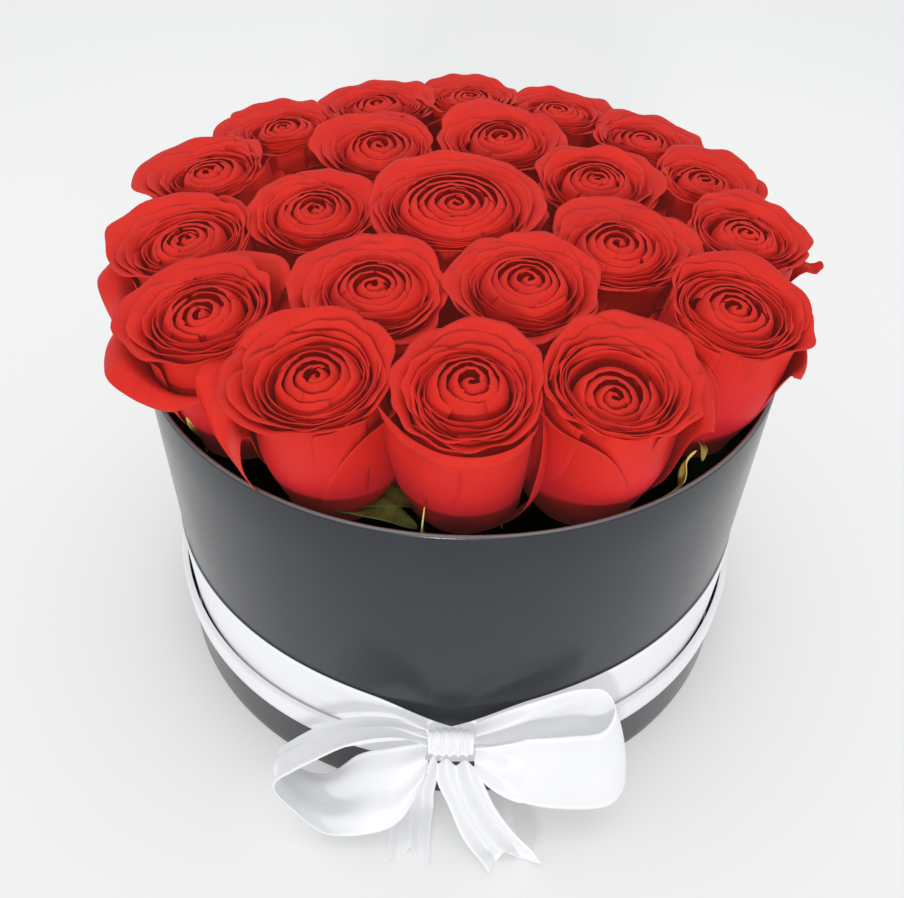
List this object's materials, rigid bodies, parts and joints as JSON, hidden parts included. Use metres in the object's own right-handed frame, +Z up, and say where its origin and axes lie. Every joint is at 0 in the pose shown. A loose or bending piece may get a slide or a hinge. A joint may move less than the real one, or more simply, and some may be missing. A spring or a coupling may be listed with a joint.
{
  "type": "flower box",
  "caption": "Round hat box of cut roses standing in its inverted lid, tied low with a wide satin ribbon and bow; box, insert and every rose lift out.",
  "frame": {"origin": "centre of the base lid's underside, on the axis of the box, on the surface it stands on", "axes": "+Z up along the box's axis, the bow at -Y, +X to the right seen from the bow"},
  "size_m": [0.2598, 0.292, 0.1995],
  "materials": {
    "black_paper": "satin black wrapping paper over greyboard",
    "white_satin": "double-faced satin ribbon",
    "clear_film": "thin waterproof film",
    "floral_foam": "open-cell wet floral foam",
    "rose_petal": "velvety fresh petal",
    "stem_green": "waxy plant stem and leaf"
  },
  "bodies": {
    "base_tray": {"base_lid_wall": "black_paper", "base_lid_disc": "black_paper", "base_trim_ribbon": "white_satin"},
    "hat_box": {"box_wall": "black_paper", "box_bottom": "black_paper", "ribbon_band": "white_satin", "bow_knot": "white_satin", "bow_loop_left": "white_satin", "bow_loop_right": "white_satin", "bow_tail_left": "white_satin", "bow_tail_right": "white_satin"},
    "floral_insert": {"liner_cup": "clear_film", "floral_foam": "floral_foam"},
    "rose_01": {"bloom_01": "rose_petal", "stem_01": "stem_green"},
    "rose_02": {"bloom_02": "rose_petal", "stem_02": "stem_green"},
    "rose_03": {"bloom_03": "rose_petal", "stem_03": "stem_green"},
    "rose_04": {"bloom_04": "rose_petal", "stem_04": "stem_green"},
    "rose_05": {"bloom_05": "rose_petal", "stem_05": "stem_green"},
    "rose_06": {"bloom_06": "rose_petal", "stem_06": "stem_green"},
    "rose_07": {"bloom_07": "rose_petal", "stem_07": "stem_green"},
    "rose_08": {"bloom_08": "rose_petal", "stem_08": "stem_green"},
    "rose_09": {"bloom_09": "rose_petal", "stem_09": "stem_green"},
    "rose_10": {"bloom_10": "rose_petal", "stem_10": "stem_green"},
    "rose_11": {"bloom_11": "rose_petal", "stem_11": "stem_green"},
    "rose_12": {"bloom_12": "rose_petal", "stem_12": "stem_green"},
    "rose_13": {"bloom_13": "rose_petal", "stem_13": "stem_green"},
    "rose_14": {"bloom_14": "rose_petal", "stem_14": "stem_green"},
    "rose_15": {"bloom_15": "rose_petal", "stem_15": "stem_green"},
    "rose_16": {"bloom_16": "rose_petal", "stem_16": "stem_green"},
    "rose_17": {"bloom_17": "rose_petal", "stem_17": "stem_green"},
    "rose_18": {"bloom_18": "rose_petal", "stem_18": "stem_green"},
    "rose_19": {"bloom_19": "rose_petal", "stem_19": "stem_green"},
    "rose_20": {"bloom_20": "rose_petal", "stem_20": "stem_green"},
    "rose_21": {"bloom_21": "rose_petal", "stem_21": "stem_green"},
    "rose_22": {"bloom_22": "rose_petal", "stem_22": "stem_green"}
  },
  "joints": [
    {"name": "box_lift", "type": "slide", "parent": "base_tray", "child": "hat_box", "axis": [0, 0, 1], "range_m": [0, 0.045]},
    {"name": "insert_lift", "type": "slide", "parent": "hat_box", "child": "floral_insert", "axis": [0, 0, 1], "range_m": [0, 0.15]},
    {"name": "rose_01_pull", "type": "slide", "parent": "floral_insert", "child": "rose_01", "axis": [-0.0544, -0.1091, 0.9925], "range_m": [0, 0.066]},
    {"name": "rose_02_pull", "type": "slide", "parent": "floral_insert", "child": "rose_02", "axis": [0.0021, -0.1219, 0.9925], "range_m": [0, 0.066]},
    {"name": "rose_03_pull", "type": "slide", "parent": "floral_insert", "child": "rose_03", "axis": [0.0563, -0.1081, 0.9925], "range_m": [0, 0.066]},
    {"name": "rose_04_pull", "type": "slide", "parent": "floral_insert", "child": "rose_04", "axis": [0.105, -0.0619, 0.9925], "range_m": [0, 0.066]},
    {"name": "rose_05_pull", "type": "slide", "parent": "floral_insert", "child": "rose_05", "axis": [0.1217, -0.0064, 0.9925], "range_m": [0, 0.066]},
    {"name": "rose_06_pull", "type": "slide", "parent": "floral_insert", "child": "rose_06", "axis": [0.1145, 0.0417, 0.9925], "range_m": [0, 0.066]},
    {"name": "rose_07_pull", "type": "slide", "parent": "floral_insert", "child": "rose_07", "axis": [0.0891, 0.0831, 0.9925], "range_m": [0, 0.066]},
    {"name": "rose_08_pull", "type": "slide", "parent": "floral_insert", "child": "rose_08", "axis": [0.0486, 0.1118, 0.9925], "range_m": [0, 0.066]},
    {"name": "rose_09_pull", "type": "slide", "parent": "floral_insert", "child": "rose_09", "axis": [0.0011, 0.1219, 0.9925], "range_m": [0, 0.066]},
    {"name": "rose_10_pull", "type": "slide", "parent": "floral_insert", "child": "rose_10", "axis": [-0.0466, 0.1126, 0.9925], "range_m": [0, 0.066]},
    {"name": "rose_11_pull", "type": "slide", "parent": "floral_insert", "child": "rose_11", "axis": [-0.0906, 0.0815, 0.9925], "range_m": [0, 0.066]},
    {"name": "rose_12_pull", "type": "slide", "parent": "floral_insert", "child": "rose_12", "axis": [-0.1162, 0.0366, 0.9925], "range_m": [0, 0.066]},
    {"name": "rose_13_pull", "type": "slide", "parent": "floral_insert", "child": "rose_13", "axis": [-0.1204, -0.0191, 0.9925], "range_m": [0, 0.066]},
    {"name": "rose_14_pull", "type": "slide", "parent": "floral_insert", "child": "rose_14", "axis": [-0.0992, -0.0708, 0.9925], "range_m": [0, 0.066]},
    {"name": "rose_15_pull", "type": "slide", "parent": "floral_insert", "child": "rose_15", "axis": [0, 0, 1], "range_m": [0, 0.066]},
    {"name": "rose_16_pull", "type": "slide", "parent": "floral_insert", "child": "rose_16", "axis": [0, 0, 1], "range_m": [0, 0.066]},
    {"name": "rose_17_pull", "type": "slide", "parent": "floral_insert", "child": "rose_17", "axis": [0, 0, 1], "range_m": [0, 0.066]},
    {"name": "rose_18_pull", "type": "slide", "parent": "floral_insert", "child": "rose_18", "axis": [0, 0, 1], "range_m": [0, 0.066]},
    {"name": "rose_19_pull", "type": "slide", "parent": "floral_insert", "child": "rose_19", "axis": [0, 0, 1], "range_m": [0, 0.066]},
    {"name": "rose_20_pull", "type": "slide", "parent": "floral_insert", "child": "rose_20", "axis": [0, 0, 1], "range_m": [0, 0.066]},
    {"name": "rose_21_pull", "type": "slide", "parent": "floral_insert", "child": "rose_21", "axis": [0, 0, 1], "range_m": [0, 0.066]},
    {"name": "rose_22_pull", "type": "slide", "parent": "floral_insert", "child": "rose_22", "axis": [0, 0, 1], "range_m": [0, 0.066]}
  ]
}
